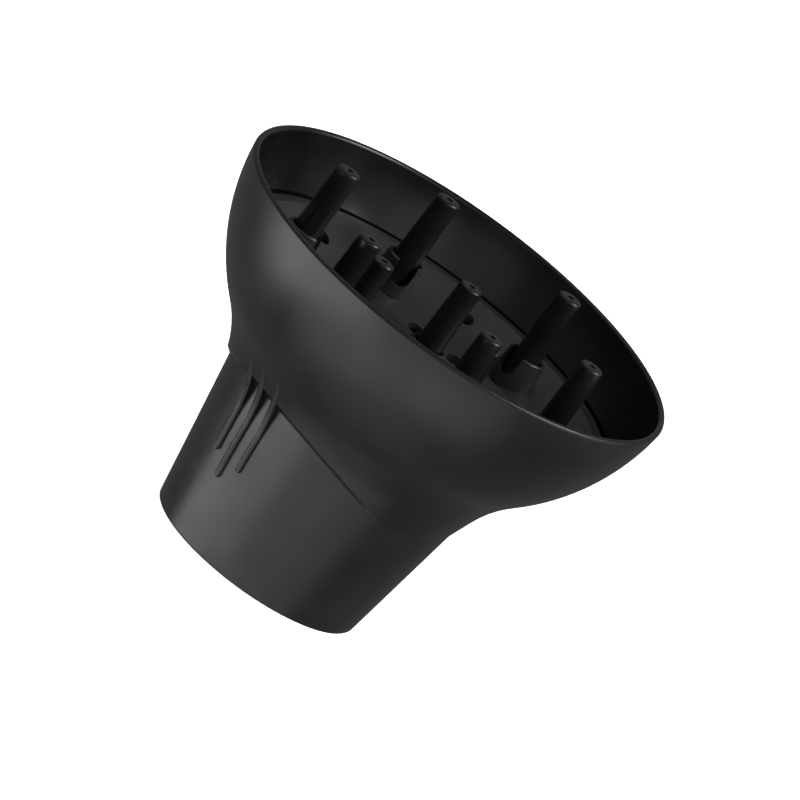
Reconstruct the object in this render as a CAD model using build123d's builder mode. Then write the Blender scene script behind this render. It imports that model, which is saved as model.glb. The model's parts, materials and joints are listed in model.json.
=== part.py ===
# Hair dryer diffuser: a flared bell on a conical collar, with nine hollow fingers on a dished plate.
# Millimetres. The origin is the centre of the collar's mouth, +Z points out of the bell and the grip
# ribs are on -Y.
import os
from math import atan2, cos, degrees, radians, sin, sqrt, tan

from build123d import *

os.makedirs("parts", exist_ok=True)

# Coupling ring for the dryer's barrel
barrel_bore = 57.0
ring_wall = 1.8
ring_height = 31.0
ring_recess = 1.0
ring_flange_height = 2.0
ring_flange_step = 0.85
ring_flange_gap = 0.2
barrel_stop = 1.0
barrel_stop_height = 1.5
lead_in = 0.8
tongue_count = 6
tongue_width = 9.0
tongue_slot = 1.2
tongue_length = 15.0
hook_width = 5.0
hook_reach = 1.3
hook_height = 2.4
hook_edge = 0.6
hook_clearance = 0.05
carrier_thickness = 1.6
carrier_length = 23.0
carrier_clearance = 0.1

# Bell housing
height = 100.4
rim_radius = 70.2
rim_round = 0.9
wall = 2.0
collar_taper = 9.34
mouth_round = 0.8
round_share = 0.45

# The flare leaves the collar in a crease, bends out at the neck, and the bell bends back to the rim
crease_height = 39.9
flare_angle = 20.9
flare_run = 8.0
neck_bend_radius = 38.7
bell_angle = 43.5
waist_run = 2.7

# Slanting step: on the rib side the flare ends in a lip, and a ramp runs from under it to the bare collar
step_lip_height = 52.4
step_tilt = 20.8
step_lip = 0.9
step_ramp_radius = 36.5
step_ramp_height = 9.0
step_ramp_angle = 46.0

# Grip ribs, which run from the collar over the step
rib_width = 1.6
rib_round = 0.3
rib_proud = 1.1
rib_pitch_angle = 8.3
rib_step_proud = 0.3
middle_rib_foot = 21.3
side_rib_foot = 27.0
rib_bend_height = 41.0
rib_top_height = 57.5

# Finger plate
plate_depth = 18.3
plate_dish = 13.0
plate_thickness = 2.0
plate_gap = 0.4
ledge_width = 4.0
ledge_thickness = 2.0
spigot_height = 5.0
spigot_wall = 1.6
spigot_clearance = 0.1

# Finger sockets and air holes in the plate
outer_count = 6
inner_count = 3
outer_ring_radius = 44.1
inner_ring_radius = 22.4
outer_first_angle = 30.0
inner_first_angle = 0.0
outer_socket_rim = 84.8
inner_socket_rim = 73.9
socket_length = 14.0
socket_wall = 1.0
socket_draft = 5.5
socket_edge = 0.4
notch_width = 6.2
notch_depth = 7.0
air_hole = 4.8
outer_hole_ring = 49.4
middle_hole_ring = 30.9
middle_hole_angle = 13.0
centre_hole_ring = 11.0

# Fingers
finger_reach = 21.1
finger_base = 8.0
finger_tip = 5.6
finger_wall = 1.1
finger_air_gap = 0.7
tip_hole = 2.2
tip_round = 0.8
root_flange = 12.0
root_thickness = 1.4
root_slot = 5.0
web_count = 3
web_thickness = 1.2
web_height = 8.0
web_clearance = 0.05


# Helpers for the housing's outline, in the plane of radius and height
def along(angle, length):
    """A step along a line that leans out from the axis by the angle."""
    return Vector(sin(radians(angle)), cos(radians(angle))) * length


def inward(angle, length):
    """A step square to that line, towards the axis."""
    return Vector(-cos(radians(angle)), sin(radians(angle))) * length


def collar_radius(z, inset=0.0):
    """Radius of the collar's skin, or of a surface set in from it, at a height."""
    return mouth_radius + z * tan(radians(collar_taper)) - inset / cos(radians(collar_taper))


def neck_radius(z):
    """Outer radius of the concave bend between the flare and the bell."""
    return neck_centre.X - sqrt(neck_bend_radius**2 - (z - neck_centre.Y) ** 2)


def bell_radius(z, inset=0.0):
    """Radius of the bell's skin, or of a surface set in from it, at a height above its start."""
    return bell_centre.X + sqrt((bell_bend_radius - inset) ** 2 - (z - bell_centre.Y) ** 2)


def dish_height(radius):
    """Height of the finger plate's upper face."""
    return plate_top - plate_dish + dish_bend_radius - sqrt(dish_bend_radius**2 - radius**2)


# Sizes that follow from the ones above
ring_radius = barrel_bore / 2 + ring_wall
ring_flange_radius = ring_radius + ring_flange_step
ring_top = ring_recess + ring_height
carrier_foot = ring_recess + ring_flange_height
carrier_top = carrier_foot + carrier_length

collar_inset = wall / cos(radians(collar_taper)) - ring_recess * tan(radians(collar_taper))
mouth_radius = ring_flange_radius + ring_flange_gap + collar_inset
crease = Vector(collar_radius(crease_height), crease_height)
neck = crease + along(flare_angle, flare_run)
neck_centre = neck - inward(flare_angle, neck_bend_radius)
waist = neck_centre + inward(bell_angle, neck_bend_radius)
bell_start = waist + along(bell_angle, waist_run)
rim = Vector(rim_radius, height)
bell_chord = rim - bell_start
rim_angle = 2 * degrees(atan2(bell_chord.X, bell_chord.Y)) - bell_angle
bell_bend_radius = bell_chord.length / (2 * sin(radians(bell_angle - rim_angle) / 2))
bell_centre = rim + inward(rim_angle, bell_bend_radius)

plate_top = height - plate_depth
plate_seat = plate_top - plate_thickness
ledge_radius = bell_radius(plate_seat, wall) - ledge_width
ledge_foot = plate_seat - ledge_thickness - ledge_width
spigot_radius = ledge_radius - spigot_clearance
spigot_foot = plate_seat - spigot_height
dish_bend_radius = (spigot_radius**2 + plate_dish**2) / (2 * plate_dish)
socket_bore_radius = finger_base / 2 + finger_air_gap
socket_rim_radius = socket_bore_radius + socket_wall
root_radius = root_flange / 2


def around(count, radius, first_angle=0.0):
    """Places round the axis, each with its x axis pointing outwards."""
    return PolarLocations(radius, count, start_angle=first_angle)


def housing_form(inset):
    """Bell and collar as one full solid, set in from the skin and run past both ends by a wall."""
    foot = Vector(collar_radius(-wall, inset), -wall)
    collar_end = Vector(collar_radius(waist.Y, inset), waist.Y)
    flare_start = crease + inward(flare_angle, inset) - along(flare_angle, crease_height / 2)
    flare_end = neck + inward(flare_angle, inset)
    bell_end = rim + inward(rim_angle, inset)
    bell_top = bell_end + along(rim_angle, 2 * wall)
    lip_point = (0, -neck_radius(step_lip_height), step_lip_height)
    step_axis = (0, sin(radians(step_tilt)), cos(radians(step_tilt)))
    ramp_radius = step_ramp_radius - inset * tan(radians(45 - step_ramp_angle / 2))
    step = Plane(lip_point, x_dir=(1, 0, 0), z_dir=step_axis).offset(inset)
    with BuildPart() as flare:
        with BuildSketch(Plane.XZ):
            with BuildLine():
                Line(flare_start, flare_end)
                bend = JernArc(
                    flare_end, along(flare_angle, 1), neck_bend_radius + inset, flare_angle - bell_angle
                )
                waist_line = Line(bend @ 1, bend @ 1 + along(bell_angle, waist_run))
                TangentArc(waist_line @ 1, bell_end, tangent=waist_line % 1)
                Polyline(bell_end, bell_top, (0, bell_top.Y), (0, flare_start.Y), flare_start)
            make_face()
        revolve(axis=Axis.Z)
        split(bisect_by=step, keep=Keep.TOP)
    with BuildPart() as form:
        with BuildSketch(Plane.XZ):
            with BuildLine():
                Polyline((0, foot.Y), foot, collar_end, (0, collar_end.Y), close=True)
            make_face()
        revolve(axis=Axis.Z)
        add(flare.part)
        with Locations(step * Pos(0, step_lip + step_ramp_radius)):
            Cone(
                ramp_radius - step_ramp_height * tan(radians(step_ramp_angle)),
                ramp_radius,
                step_ramp_height,
                align=(Align.CENTER, Align.CENTER, Align.MAX),
            )
    return form.part


def grip_rib(foot_height):
    """A round-crested rib that leaves the collar, bridges the step and fades out on the neck."""
    step_crossing = (neck.Y + rib_top_height) / 2
    with BuildPart() as rib:
        with BuildSketch(Plane.XZ):
            with BuildLine():
                crest = Spline(
                    (collar_radius(foot_height) + rib_proud, foot_height),
                    (collar_radius(rib_bend_height) + rib_proud, rib_bend_height),
                    (neck_radius(step_crossing) + rib_step_proud, step_crossing),
                    (neck_radius(rib_top_height), rib_top_height),
                )
                Polyline(
                    crest @ 1,
                    (collar_radius(rib_top_height, wall / 2), rib_top_height),
                    (collar_radius(foot_height, wall / 2), foot_height),
                    crest @ 0,
                )
            make_face()
        extrude(amount=rib_width / 2, both=True)
        foot_face = rib.faces().sort_by(Axis.Z)[0]
        fillet(foot_face.edges().filter_by(Axis.Y, reverse=True), radius=round_share * rib_width)
        crest_face = rib.faces().sort_by(Axis.X)[-1]
        fillet(crest_face.edges().sort_by(Axis.Z)[:-1], radius=rib_round)
    return rib.part


skin = housing_form(0)
cavity = housing_form(wall)
side_rib = grip_rib(side_rib_foot)
middle_rib = grip_rib(middle_rib_foot)

# Web inside the collar that carries the coupling ring
with BuildPart() as carrier:
    with BuildSketch(Plane.XZ):
        with BuildLine():
            Polyline(
                (ring_radius + carrier_clearance, carrier_foot),
                (collar_radius(carrier_foot, wall / 2), carrier_foot),
                (collar_radius(carrier_top, wall / 2), carrier_top),
                (ring_radius + carrier_clearance, carrier_top),
                close=True,
            )
        make_face()
    extrude(amount=carrier_thickness / 2, both=True)

# Bell housing, one moulding: bell, collar, step, grip ribs, plate ledge and carrier webs
with BuildPart() as bell_housing:
    add(skin)
    add(middle_rib, rotation=(0, 0, -90))
    add(side_rib, rotation=(0, 0, -90 - rib_pitch_angle))
    add(side_rib, rotation=(0, 0, -90 + rib_pitch_angle))
    add(cavity, mode=Mode.SUBTRACT)
    split(bisect_by=Plane.XY, keep=Keep.TOP)
    split(bisect_by=Plane.XY.offset(height), keep=Keep.BOTTOM)
    fillet(bell_housing.edges().group_by(Axis.Z)[-1], radius=min(rim_round, round_share * wall))
    mouth_edges = bell_housing.edges().group_by(Axis.Z)[0]
    fillet(mouth_edges.sort_by(SortBy.RADIUS)[-1], radius=min(mouth_round, round_share * wall))
    with BuildSketch(Plane.XZ):
        with BuildLine():
            Polyline(
                (ledge_radius, plate_seat),
                (bell_radius(plate_seat, wall / 2), plate_seat),
                (bell_radius(ledge_foot, wall / 2), ledge_foot),
                (ledge_radius, plate_seat - ledge_thickness),
                close=True,
            )
        make_face()
    revolve(axis=Axis.Z)
    with around(tongue_count, 0):
        add(carrier.part)
bell_housing.part.label = "bell_housing"
export_step(bell_housing.part, "parts/bell_housing.step")

# Snap hook on a tongue of the coupling ring
with BuildPart() as hook:
    with BuildSketch(Plane.XZ.offset(-hook_width / 2)):
        with BuildLine():
            hook_foot = carrier_top + hook_clearance
            Polyline(
                (ring_radius - ring_wall / 2, hook_foot),
                (ring_radius + hook_reach, hook_foot),
                (ring_radius + hook_reach, hook_foot + hook_edge),
                (ring_radius - ring_wall / 2, hook_foot + hook_height),
                close=True,
            )
        make_face()
    extrude(amount=hook_width)

# Coupling ring: straight bore for the barrel, snapped over the carrier webs by its tongues
with BuildPart() as coupling_ring:
    with BuildSketch(Plane.XZ):
        with BuildLine():
            bore_radius = barrel_bore / 2
            Polyline(
                (bore_radius + lead_in, ring_recess),
                (ring_flange_radius, ring_recess),
                (ring_flange_radius, carrier_foot),
                (ring_radius, carrier_foot),
                (ring_radius, ring_top),
                (bore_radius - barrel_stop, ring_top),
                (bore_radius - barrel_stop, ring_top - barrel_stop_height),
                (bore_radius, ring_top - barrel_stop_height),
                (bore_radius, ring_recess + lead_in),
                close=True,
            )
        make_face()
    revolve(axis=Axis.Z)
    with around(tongue_count, 0):
        add(hook.part)
    with Locations((0, 0, ring_top)):
        with around(tongue_count, bore_radius):
            with Locations((0, -tongue_width / 2), (0, tongue_width / 2)):
                Box(
                    2 * (ring_wall + barrel_stop),
                    tongue_slot,
                    tongue_length,
                    align=(Align.CENTER, Align.CENTER, Align.MAX),
                    mode=Mode.SUBTRACT,
                )
coupling_ring.part.label = "coupling_ring"
export_step(coupling_ring.part, "parts/coupling_ring.step")

# Notch in an outer sleeve, open at the top and facing the plate's centre
with BuildPart() as notch:
    with BuildSketch(Plane.YZ):
        with Locations((0, notch_width / 2 - notch_depth)):
            Circle(notch_width / 2)
            Rectangle(notch_width, 2 * notch_depth, align=(Align.CENTER, Align.MIN))
    extrude(amount=-2 * socket_rim_radius)


def socket(sleeve_height):
    """A sleeve with draft above the plate and a straight stem below it, with the rim at z = 0."""
    sleeve_radius = socket_rim_radius + sleeve_height * tan(radians(socket_draft))
    with BuildPart() as body:
        with BuildSketch(Plane.XZ):
            with BuildLine():
                Polyline(
                    (socket_bore_radius, 0),
                    (socket_rim_radius, 0),
                    (sleeve_radius, -sleeve_height),
                    (root_radius, -sleeve_height),
                    (root_radius, -socket_length),
                    (socket_bore_radius, -socket_length),
                    close=True,
                )
            make_face()
        revolve(axis=Axis.Z)
        chamfer(body.edges().group_by(Axis.Z)[-1], length=min(socket_edge, round_share * socket_wall))
    return body.part


# Finger plate, one moulding: dish, edge flange, spigot, finger sockets and air holes
with BuildPart() as finger_plate:
    with BuildSketch(Plane.XZ):
        with BuildLine():
            spigot_inner = spigot_radius - spigot_wall
            upper = TangentArc((0, plate_top - plate_dish), (spigot_radius, plate_top), tangent=(1, 0))
            Polyline(
                upper @ 1,
                (bell_radius(plate_top, wall) - plate_gap, plate_top),
                (bell_radius(plate_seat, wall) - plate_gap, plate_seat),
                (spigot_radius, plate_seat),
                (spigot_radius, spigot_foot),
                (spigot_inner, spigot_foot),
                (spigot_inner, plate_seat),
            )
            lower = TangentArc((0, plate_seat - plate_dish), (spigot_inner, plate_seat), tangent=(1, 0))
            Line(lower @ 0, upper @ 0)
        make_face()
    revolve(axis=Axis.Z)
    for count, radius, first_angle, socket_rim in (
        (outer_count, outer_ring_radius, outer_first_angle, outer_socket_rim),
        (inner_count, inner_ring_radius, inner_first_angle, inner_socket_rim),
    ):
        sleeve = socket(socket_rim - dish_height(radius - socket_rim_radius))
        with Locations((0, 0, socket_rim)):
            with around(count, radius, first_angle):
                Hole(socket_bore_radius)
                add(sleeve)
    with Locations((0, 0, outer_socket_rim)):
        with around(outer_count, outer_ring_radius, outer_first_angle):
            add(notch.part, mode=Mode.SUBTRACT)
    with Locations((0, 0, plate_top)):
        with around(outer_count, outer_hole_ring):
            Hole(air_hole / 2)
        with around(outer_count, middle_hole_ring, -middle_hole_angle):
            Hole(air_hole / 2)
        with around(outer_count, middle_hole_ring, middle_hole_angle):
            Hole(air_hole / 2)
        with around(outer_count, centre_hole_ring):
            Hole(air_hole / 2)
finger_plate.part.label = "finger_plate"
export_step(finger_plate.part, "parts/finger_plate.step")

# One finger, standing at the foot of its socket: hollow pin, three centring webs and a slotted root flange
with BuildPart() as pin:
    with BuildSketch(Plane.XZ):
        with BuildLine():
            tip_height = socket_length + finger_reach
            bore_top = tip_height - finger_wall
            Polyline(
                (finger_base / 2 - finger_wall, -root_thickness),
                (root_radius, -root_thickness),
                (root_radius, 0),
                (finger_base / 2, 0),
                (finger_base / 2, socket_length),
                (finger_tip / 2, tip_height),
                (tip_hole / 2, tip_height),
                (tip_hole / 2, bore_top),
                (finger_tip / 2 - finger_wall, bore_top),
                (finger_base / 2 - finger_wall, socket_length),
                close=True,
            )
        make_face()
    revolve(axis=Axis.Z)
    tip_edge = pin.edges().group_by(Axis.Z)[-1].sort_by(SortBy.RADIUS)[-1]
    fillet(tip_edge, radius=tip_round)
    web_reach = sqrt((socket_bore_radius - web_clearance) ** 2 - (web_thickness / 2) ** 2)
    with around(web_count, finger_base / 2 - finger_wall / 2):
        Box(
            web_reach - finger_base / 2 + finger_wall / 2,
            web_thickness,
            web_height,
            align=(Align.MIN, Align.CENTER, Align.MIN),
        )
    with around(web_count, finger_base / 2, 180 / web_count):
        Box(
            root_radius,
            root_slot,
            2 * root_thickness,
            align=(Align.MIN, Align.CENTER, Align.CENTER),
            mode=Mode.SUBTRACT,
        )

for ring_name, count, radius, first_angle, socket_rim in (
    ("outer", outer_count, outer_ring_radius, outer_first_angle, outer_socket_rim),
    ("inner", inner_count, inner_ring_radius, inner_first_angle, inner_socket_rim),
):
    for number, place in enumerate(around(count, radius, first_angle), 1):
        with BuildPart() as finger:
            with Locations(Location((0, 0, socket_rim - socket_length)) * place):
                add(pin.part)
        finger.part.label = f"{ring_name}_finger_{number}"
        export_step(finger.part, f"parts/{ring_name}_finger_{number}.step")
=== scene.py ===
# Hair dryer diffuser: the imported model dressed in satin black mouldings, under soft studio light.
import json
from functools import partial
from math import atan2, cos, hypot, radians, sin, tan

import bpy
from mathutils import Matrix, Vector


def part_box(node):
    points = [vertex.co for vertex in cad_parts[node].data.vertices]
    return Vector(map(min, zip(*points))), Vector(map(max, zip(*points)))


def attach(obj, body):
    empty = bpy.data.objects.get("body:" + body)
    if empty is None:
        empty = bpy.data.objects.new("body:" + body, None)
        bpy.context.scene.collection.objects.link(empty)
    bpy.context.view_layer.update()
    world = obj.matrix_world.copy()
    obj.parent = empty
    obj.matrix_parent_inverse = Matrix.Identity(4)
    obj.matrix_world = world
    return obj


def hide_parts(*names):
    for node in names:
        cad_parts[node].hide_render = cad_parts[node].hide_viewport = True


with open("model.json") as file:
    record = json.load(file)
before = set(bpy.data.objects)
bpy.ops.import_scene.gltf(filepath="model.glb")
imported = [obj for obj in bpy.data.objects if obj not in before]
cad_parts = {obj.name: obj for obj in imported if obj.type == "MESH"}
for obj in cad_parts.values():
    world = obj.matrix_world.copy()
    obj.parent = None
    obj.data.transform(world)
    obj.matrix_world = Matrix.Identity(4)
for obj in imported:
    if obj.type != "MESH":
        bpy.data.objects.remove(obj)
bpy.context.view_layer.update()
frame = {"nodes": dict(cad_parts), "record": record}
SLOTS = {subpart["node"]: subpart["material_slot"] for subpart in frame["record"]["subparts"]}

# The photograph's view: degrees, and metres in the frame of the part
VIEW_AZIMUTH = 38.29
VIEW_ELEVATION = 16.92
VIEW_ROLL = 36.54
VIEW_DISTANCE = 1.0
VIEW_WIDTH = 0.2242
VIEW_CENTRE_RIGHT = 0.00584
VIEW_CENTRE_HEIGHT = 0.0625

# Soft lights: direction as right, up and towards the camera in the picture, and brightness
SOFTBOX_DISTANCE = 1.5
SOFTBOX_SIZE = 0.9
SOFTBOX_POWER = 4 * SOFTBOX_SIZE**2
SOFTBOXES = {
    "key_left": ((-0.99, 0.17, 0.04), 2.3),
    "key_front": ((-0.82, -0.07, 0.57), 2.1),
    "fill_left": ((-0.86, -0.45, 0.23), 0.73),
    "fill_low": ((-0.49, -0.69, 0.53), 0.9),
    "fill_under": ((-0.07, -0.93, 0.37), 0.75),
    "fill_behind": ((-0.55, -0.83, -0.05), 0.24),
    "front": ((-0.05, 0.07, 1.0), 0.22),
    "right_front": ((0.49, -0.17, 0.86), 0.42),
    "right": ((0.81, -0.4, 0.43), 0.28),
    "right_low": ((0.76, -0.64, -0.06), 0.65),
    "right_high": ((0.98, 0.04, 0.19), 4.2),
    "top": ((0.22, 0.98, 0.0), 0.4),
}
LIGHT_COLOUR = (1.0, 0.995, 0.96)
AMBIENT = 0.16

# The floor
WHITE = (1, 1, 1, 1)
FLOOR_SIZE = 20
FLOOR_COLOUR = (0.9, 0.9, 0.9, 1)
FLOOR_ROUGHNESS = 0.9
FLOOR_GLOW = 1.0

# Surface of the mouldings, in metres
GRAIN_SIZE = 0.0004
PATCH_SIZE = 0.02
EDGE_WIDTH = 0.0005
SPOKE_LENGTH = 0.05

# How the finish varies: ranges of the noise, of the facing away from the axis and of the turn at an edge
GRAIN_DETAIL = 2.0
PATCH_DETAIL = 6.0
SIDE_RANGE = (-0.1, 0.1)
WEAR_RANGE = (0.995, 0.85)
TINT_RANGE = (0.35, 0.7)
TINT_SHARES = (0.8, 1.3)
GLOSS_RANGE = (0.3, 0.7)
GLOSS_SPREAD = 0.15
FULL_RANGE = (0.0, 1.0)

# Colour, colour of worn edges, roughness outside and inside, and depth of the grain
FINISHES = {
    "housing_plastic": ((0.0056, 0.0055, 0.0053), (0.03, 0.03, 0.029), 0.36, 0.26, 4e-6),
    "plate_plastic": ((0.034, 0.034, 0.034), (0.024, 0.024, 0.024), 0.38, 0.38, 1e-6),
    "finger_plastic": ((0.012, 0.012, 0.012), (0.06, 0.06, 0.06), 0.3, 0.3, 1e-6),
    "ring_plastic": ((0.006, 0.006, 0.006), (0.02, 0.02, 0.02), 0.45, 0.4, 3e-6),
}

# Painted shade: the band of the bell's wall round the plate's edge, stripped of sheen so the gap there shows
# dark: its height, half its width, usual sheen
SHADE_BAND_MIDDLE = 0.0811
SHADE_BAND_HALF = 0.0012
USUAL_SHEEN = 0.5

# From here on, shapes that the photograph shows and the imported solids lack, in metres and degrees.
# How near a point lies to a surface that it belongs to, and how alike the normals across a seam are
FIT_TOLERANCE = 0.00003
SEAM_ANGLE = 7
SEAM_COSINE = cos(radians(SEAM_ANGLE))

# The step: no ramp under its lip, but the bare collar up to it
MOUTH_RADIUS = 0.0332124
COLLAR_TAPER = 9.34
STEP_LIP = Vector((0, -0.0449736, 0.0524))
STEP_TILT = 20.8
STEP_AXIS = Vector((0, sin(radians(STEP_TILT)), cos(radians(STEP_TILT))))
STEP_DOWNHILL = Vector((0, cos(radians(STEP_TILT)), -sin(radians(STEP_TILT))))
RAMP_SET_BACK = 0.0009
RAMP_RADIUS = 0.0365
RAMP_CENTRE = STEP_LIP + STEP_DOWNHILL * (RAMP_SET_BACK + RAMP_RADIUS)
RAMP_ANGLE = 46.0
RAMP_COSINE = 0.98
UNDERSIDE_COSINE = 0.99
LIP_SLANT = 0.0008

# The grip ribs: round beads along their crests. Each has its angle round the axis and the height of its
# foot. A bead follows the collar up to the bend, and then the heights and radii of the crest
BEAD_RADIUS = 0.0011
BEAD_PROUD = 0.0012
BEAD_FEET = {-98.3: 0.0269, -90.0: 0.0212, -81.7: 0.0269}
BEAD_FOOT_SHARES = (0, 0.1, 0.3, 0.6, 1)
BEAD_BEND = 0.041
BEAD_RISE = ((0.0464, 0.0428), (0.0491, 0.0438), (0.0524, 0.0454), (0.0555, 0.0471), (0.0583, 0.0487))
BEAD_RESOLUTION = 6

# The fingers: less taper between the socket's rim and the tip
SOCKET_RIMS = {"outer_finger": 0.0848, "inner_finger": 0.0739}
TIP_WIDENING = 1.27
TIP_HOLE_RADIUS = 0.0011

# The plate: an edge further from the bell, so that the parting gap shows dark
PLATE_EDGE = 0.0615
EDGE_TRIM = 0.0014


def picture_axes():
    """Right, up and backward directions of the photograph's camera."""
    azimuth, elevation = radians(VIEW_AZIMUTH), radians(VIEW_ELEVATION)
    right = Vector((cos(azimuth), sin(azimuth), 0))
    back = Vector((sin(azimuth) * cos(elevation), -cos(azimuth) * cos(elevation), sin(elevation)))
    level = Matrix((right, back.cross(right), back)).transposed()
    return level @ Matrix.Rotation(radians(VIEW_ROLL), 3, "Z")


def view_aim():
    """The point of the part in the middle of the picture."""
    azimuth = radians(VIEW_AZIMUTH)
    aside = Vector((cos(azimuth), sin(azimuth), 0)) * VIEW_CENTRE_RIGHT
    return aside + Vector((0, 0, VIEW_CENTRE_HEIGHT))


def add_camera():
    """A camera without perspective, because the photograph was taken from far away."""
    axes = picture_axes()
    camera = bpy.data.objects.new("camera", bpy.data.cameras.new("camera"))
    camera.data.type = "ORTHO"
    camera.data.ortho_scale = VIEW_WIDTH
    camera.matrix_world = axes.to_4x4()
    camera.location = view_aim() + axes.col[2] * VIEW_DISTANCE
    bpy.context.collection.objects.link(camera)
    bpy.context.scene.camera = camera


def add_softbox(name, direction, brightness):
    """A square light that faces the part from a direction in the picture."""
    away = (picture_axes() @ Vector(direction)).normalized()
    light = bpy.data.objects.new(name, bpy.data.lights.new(name, "AREA"))
    light.data.shape = "SQUARE"
    light.data.size = SOFTBOX_SIZE
    light.data.energy = SOFTBOX_POWER * brightness
    light.data.color = LIGHT_COLOUR
    light.location = view_aim() + away * SOFTBOX_DISTANCE
    light.rotation_euler = away.to_track_quat("Z", "Y").to_euler()
    light.visible_camera = False
    bpy.context.collection.objects.link(light)


def add_world():
    """A weak even light from all round."""
    world = bpy.data.worlds.new("studio")
    world.use_nodes = True
    background = world.node_tree.nodes["Background"]
    background.inputs["Color"].default_value = WHITE
    background.inputs["Strength"].default_value = AMBIENT
    bpy.context.scene.world = world


def add_floor():
    """A white floor that the camera sees, with no shadow or bounce, as in the cut-out photograph."""
    bpy.ops.mesh.primitive_plane_add(size=FLOOR_SIZE)
    floor = bpy.context.object
    floor.name = "floor"
    floor.visible_diffuse = False
    floor.visible_glossy = False
    floor.visible_transmission = False
    floor.visible_shadow = False
    material = bpy.data.materials.new("floor")
    material.use_nodes = True
    shader = material.node_tree.nodes["Principled BSDF"]
    shader.inputs["Base Color"].default_value = FLOOR_COLOUR
    shader.inputs["Roughness"].default_value = FLOOR_ROUGHNESS
    shader.inputs["Emission Color"].default_value = WHITE
    shader.inputs["Emission Strength"].default_value = FLOOR_GLOW
    floor.data.materials.append(material)


def add_node(material, kind, settings, **sources):
    """A shader node with its settings and, by socket name, the outputs that feed it."""
    node = material.node_tree.nodes.new(kind)
    for socket, value in settings.items():
        node.inputs[socket].default_value = value
    for socket, source in sources.items():
        material.node_tree.links.new(source, node.inputs[socket.replace("_", " ")])
    return node


def add_math(material, kind, operation, *terms):
    """A node for numbers or vectors, fed in order by outputs and fixed values."""
    node = material.node_tree.nodes.new(kind)
    node.operation = operation
    for socket, term in zip(node.inputs, terms):
        if isinstance(term, bpy.types.NodeSocket):
            material.node_tree.links.new(term, socket)
        else:
            socket.default_value = term
    return node


def add_map_range(material, value, before, after):
    """An output mapped from one range to another and held at its ends."""
    settings = {"From Min": before[0], "From Max": before[1], "To Min": after[0], "To Max": after[1]}
    return add_node(material, "ShaderNodeMapRange", settings, Value=value).outputs["Result"]


def add_painted_gap_shade(material, place, outside):
    """Painted shade: no sheen on the inside of the bell where the plate's edge sits, so the gap there shows
    dark.
    """
    height = add_node(material, "ShaderNodeSeparateXYZ", {}, Vector=place).outputs["Z"]
    band = add_math(material, "ShaderNodeMath", "COMPARE", height, SHADE_BAND_MIDDLE, SHADE_BAND_HALF)
    gap_shade = add_math(material, "ShaderNodeMath", "SUBTRACT", band.outputs["Value"], outside)
    gap_shade.use_clamp = True
    sheen = add_map_range(material, gap_shade.outputs["Value"], FULL_RANGE, (USUAL_SHEEN, 0.0))
    shader = material.node_tree.nodes["Principled BSDF"]
    material.node_tree.links.new(sheen, shader.inputs["Specular IOR Level"])


def moulded_plastic(name, colour, worn_colour, roughness, inside_roughness, grain_depth):
    """A black moulding: grained outside, smoother inside, patchy in gloss and rubbed at its edges."""
    material = bpy.data.materials.new(name)
    material.use_nodes = True
    links = material.node_tree.links
    shader = material.node_tree.nodes["Principled BSDF"]
    place = add_node(material, "ShaderNodeTexCoord", {}).outputs["Object"]
    normal = add_node(material, "ShaderNodeNewGeometry", {}).outputs["Normal"]

    # How far the surface faces away from the axis: 0 inside, 1 outside
    outward = (1 / SPOKE_LENGTH, 1 / SPOKE_LENGTH, 0)
    spoke = add_math(material, "ShaderNodeVectorMath", "MULTIPLY", place, outward)
    facing = add_math(material, "ShaderNodeVectorMath", "DOT_PRODUCT", spoke.outputs["Vector"], normal)
    outside = add_map_range(material, facing.outputs["Value"], SIDE_RANGE, FULL_RANGE)

    grain_scale = {"Scale": 1 / GRAIN_SIZE, "Detail": GRAIN_DETAIL}
    grain = add_node(material, "ShaderNodeTexNoise", grain_scale, Vector=place).outputs["Fac"]
    bump = add_node(material, "ShaderNodeBump", {"Distance": grain_depth}, Strength=outside, Height=grain)
    links.new(bump.outputs["Normal"], shader.inputs["Normal"])

    # Colour in soft patches, and wear where the surface turns sharply
    softened = add_node(material, "ShaderNodeBevel", {"Radius": EDGE_WIDTH}).outputs["Normal"]
    turn = add_math(material, "ShaderNodeVectorMath", "DOT_PRODUCT", softened, normal)
    rubbed = add_map_range(material, turn.outputs["Value"], WEAR_RANGE, FULL_RANGE)
    patch_scale = {"Scale": 1 / PATCH_SIZE, "Detail": PATCH_DETAIL}
    patches = add_node(material, "ShaderNodeTexNoise", patch_scale, Vector=place).outputs["Fac"]
    tint = add_node(material, "ShaderNodeValToRGB", {}, Fac=patches)
    for element, position, share in zip(tint.color_ramp.elements, TINT_RANGE, TINT_SHARES):
        element.position = position
        element.color = (*(share * channel for channel in colour), 1)
    worn = {"Color2": (*worn_colour, 1)}
    wear = add_node(material, "ShaderNodeMixRGB", worn, Fac=rubbed, Color1=tint.outputs["Color"])
    links.new(wear.outputs["Color"], shader.inputs["Base Color"])
    # The housing also gets painted shade, a sheenless band in the gap round the plate's edge
    if name == "housing_plastic":
        add_painted_gap_shade(material, place, outside)

    gloss = add_map_range(material, outside, FULL_RANGE, (inside_roughness, roughness))
    spread = add_map_range(material, patches, GLOSS_RANGE, (1 - GLOSS_SPREAD, 1 + GLOSS_SPREAD))
    patchy = add_math(material, "ShaderNodeMath", "MULTIPLY", gloss, spread)
    links.new(patchy.outputs["Value"], shader.inputs["Roughness"])
    return material


def without_seams(points, normals):
    """Normals averaged over the corners that share a point and face nearly the same way."""
    shared = {}
    for corner, point in enumerate(points):
        shared.setdefault(tuple(round(part / FIT_TOLERANCE) for part in point), []).append(corner)
    smooth = list(normals)
    for corners in shared.values():
        around = [normals[corner] for corner in corners]
        for corner in corners:
            alike = [normal for normal in around if normal.dot(normals[corner]) > SEAM_COSINE]
            smooth[corner] = sum(alike, Vector()).normalized()
    return smooth


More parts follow.
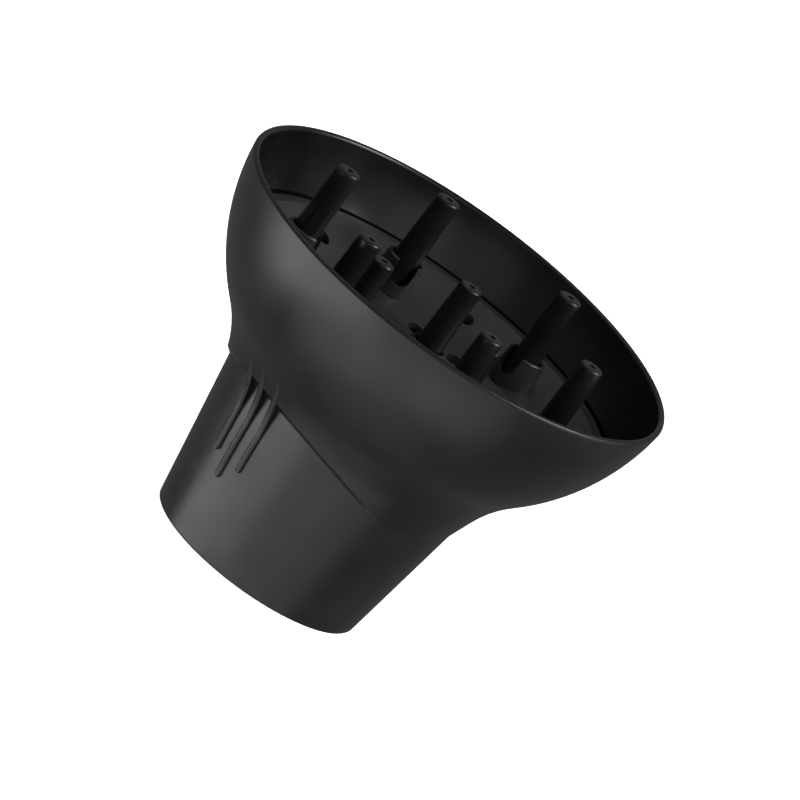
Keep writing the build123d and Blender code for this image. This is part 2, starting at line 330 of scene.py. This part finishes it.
def stand_in(name, body, moved, turned=None):
    """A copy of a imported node, with its points moved and its normals turned, shown in the node's place."""
    mesh = frame["nodes"][name].data.copy()
    points = [mesh.vertices[loop.vertex_index].co.copy() for loop in mesh.loops]
    normals = without_seams(points, [corner.vector.copy() for corner in mesh.corner_normals])
    if turned:
        normals = [turned(point, normal) for point, normal in zip(points, normals)]
    for vertex in mesh.vertices:
        vertex.co = moved(vertex.co)
    mesh.update()
    for face in mesh.polygons:
        for corner in face.loop_indices:
            if normals[corner] is None:
                normals[corner] = face.normal.copy()
    mesh.normals_split_custom_set(normals)
    piece = bpy.data.objects.new(name + "_shape", mesh)
    bpy.context.collection.objects.link(piece)
    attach(piece, body)
    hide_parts(name)
    return piece


def collar_radius(height):
    """The collar's outer radius at a height."""
    return MOUTH_RADIUS + height * tan(radians(COLLAR_TAPER))


def ramp_normal(point):
    """The ramp's outward direction at a point on it, or None off the ramp."""
    depth = (RAMP_CENTRE - point).dot(STEP_AXIS)
    spoke = point - RAMP_CENTRE + STEP_AXIS * depth
    slack = spoke.length - RAMP_RADIUS + depth * tan(radians(RAMP_ANGLE))
    outside = hypot(point.x, point.y) > collar_radius(point.z) - FIT_TOLERANCE
    if depth < -FIT_TOLERANCE or abs(slack) > FIT_TOLERANCE or not outside:
        return None
    return spoke.normalized() * cos(radians(RAMP_ANGLE)) - STEP_AXIS * sin(radians(RAMP_ANGLE))


def tucked_in(point):
    """A point of the ramp slid in, along the slant of the step, to the collar; any other point as it is."""
    if not ramp_normal(point):
        return point
    slope = tan(radians(STEP_TILT))
    side = sin(atan2(point.y, point.x))
    depth = (STEP_LIP - point).dot(STEP_AXIS)
    if depth < FIT_TOLERANCE:
        depth = LIP_SLANT
    level = STEP_LIP.z - depth / cos(radians(STEP_TILT))
    fall = slope * (MOUTH_RADIUS * side - STEP_LIP.y)
    height = (level - fall) / (1 + slope * tan(radians(COLLAR_TAPER)) * side)
    return (point.xy.normalized() * collar_radius(height)).to_3d() + Vector((0, 0, height))


def collar_normal(point, normal):
    """The collar's normal for a corner of the ramp, none under the lip, any other normal as it is."""
    at_lip = abs((STEP_LIP - point).dot(STEP_AXIS)) < FIT_TOLERANCE
    if at_lip and normal.dot(STEP_AXIS) < -UNDERSIDE_COSINE:
        return None
    ramp = ramp_normal(point)
    if not ramp or ramp.dot(normal) < RAMP_COSINE:
        return normal
    spoke = point.xy.normalized().to_3d()
    return spoke * cos(radians(COLLAR_TAPER)) - Vector((0, 0, sin(radians(COLLAR_TAPER))))


def trimmed(point):
    """A point of the plate's edge drawn in from the bell; any other point as it is."""
    if point.xy.length < PLATE_EDGE:
        return point
    return (point.xy - point.xy.normalized() * EDGE_TRIM).to_3d() + Vector((0, 0, point.z))


def widened(point, axis, rim, top):
    """A finger's point moved out, more so near the tip; below the rim and in the tip's hole as it is."""
    spoke = point.xy - axis
    if point.z < rim or spoke.length < TIP_HOLE_RADIUS + FIT_TOLERANCE:
        return point
    share = (point.z - rim) / (top - rim)
    return (axis + spoke * (1 + (TIP_WIDENING - 1) * share)).to_3d() + Vector((0, 0, point.z))


def add_fingers():
    """The fingers with less taper above their sockets."""
    shapes = {}
    for name, node in frame["nodes"].items():
        rim = SOCKET_RIMS.get(name.rpartition("_")[0])
        if not rim:
            continue
        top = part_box(name)[1].z
        tip = [vertex.co for vertex in node.data.vertices if vertex.co.z > top - FIT_TOLERANCE]
        axis = sum((point.xy for point in tip), Vector((0, 0))) / len(tip)
        shapes[name] = stand_in(name, "finger_plate", partial(widened, axis=axis, rim=rim, top=top))
    return shapes


def add_bead(angle, foot, material):
    """A round bead along the crest of one grip rib, with a rounded foot."""
    inset = BEAD_PROUD - BEAD_RADIUS
    path = []
    for share in BEAD_FOOT_SHARES:
        height = foot + share * BEAD_RADIUS
        path.append((height, collar_radius(height) + inset, (1 - (1 - share) ** 2) ** 0.5))
    path.append((BEAD_BEND, collar_radius(BEAD_BEND) + inset, 1))
    path += [(height, radius - BEAD_RADIUS, 1) for height, radius in BEAD_RISE]
    curve = bpy.data.curves.new("grip_bead", "CURVE")
    curve.dimensions = "3D"
    curve.bevel_depth = BEAD_RADIUS
    curve.bevel_resolution = BEAD_RESOLUTION
    curve.use_fill_caps = True
    curve.materials.append(material)
    spline = curve.splines.new("POLY")
    spline.points.add(len(path) - 1)
    spline.use_smooth = True
    for point, (height, radius, girth) in zip(spline.points, path):
        point.co = (radius * cos(radians(angle)), radius * sin(radians(angle)), height, 1)
        point.radius = girth
    bead = bpy.data.objects.new("grip_bead", curve)
    bpy.context.collection.objects.link(bead)
    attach(bead, "housing")


def dress(shapes, finishes):
    """The finishes on every node, or on the shape that stands in for it."""
    for name, node in frame["nodes"].items():
        for slot in shapes.get(name, node).material_slots:
            slot.material = finishes[SLOTS[name]]


add_camera()
add_world()
for name, (direction, brightness) in SOFTBOXES.items():
    add_softbox(name, direction, brightness)
add_floor()
shapes = add_fingers()
shapes["finger_plate"] = stand_in("finger_plate", "finger_plate", trimmed)
shapes["bell_housing"] = stand_in("bell_housing", "housing", tucked_in, collar_normal)
finishes = {name: moulded_plastic(name, *surface) for name, surface in FINISHES.items()}
dress(shapes, finishes)
for angle, foot in BEAD_FEET.items():
    add_bead(angle, foot, finishes["housing_plastic"])
bpy.context.scene.view_settings.view_transform = "Standard"
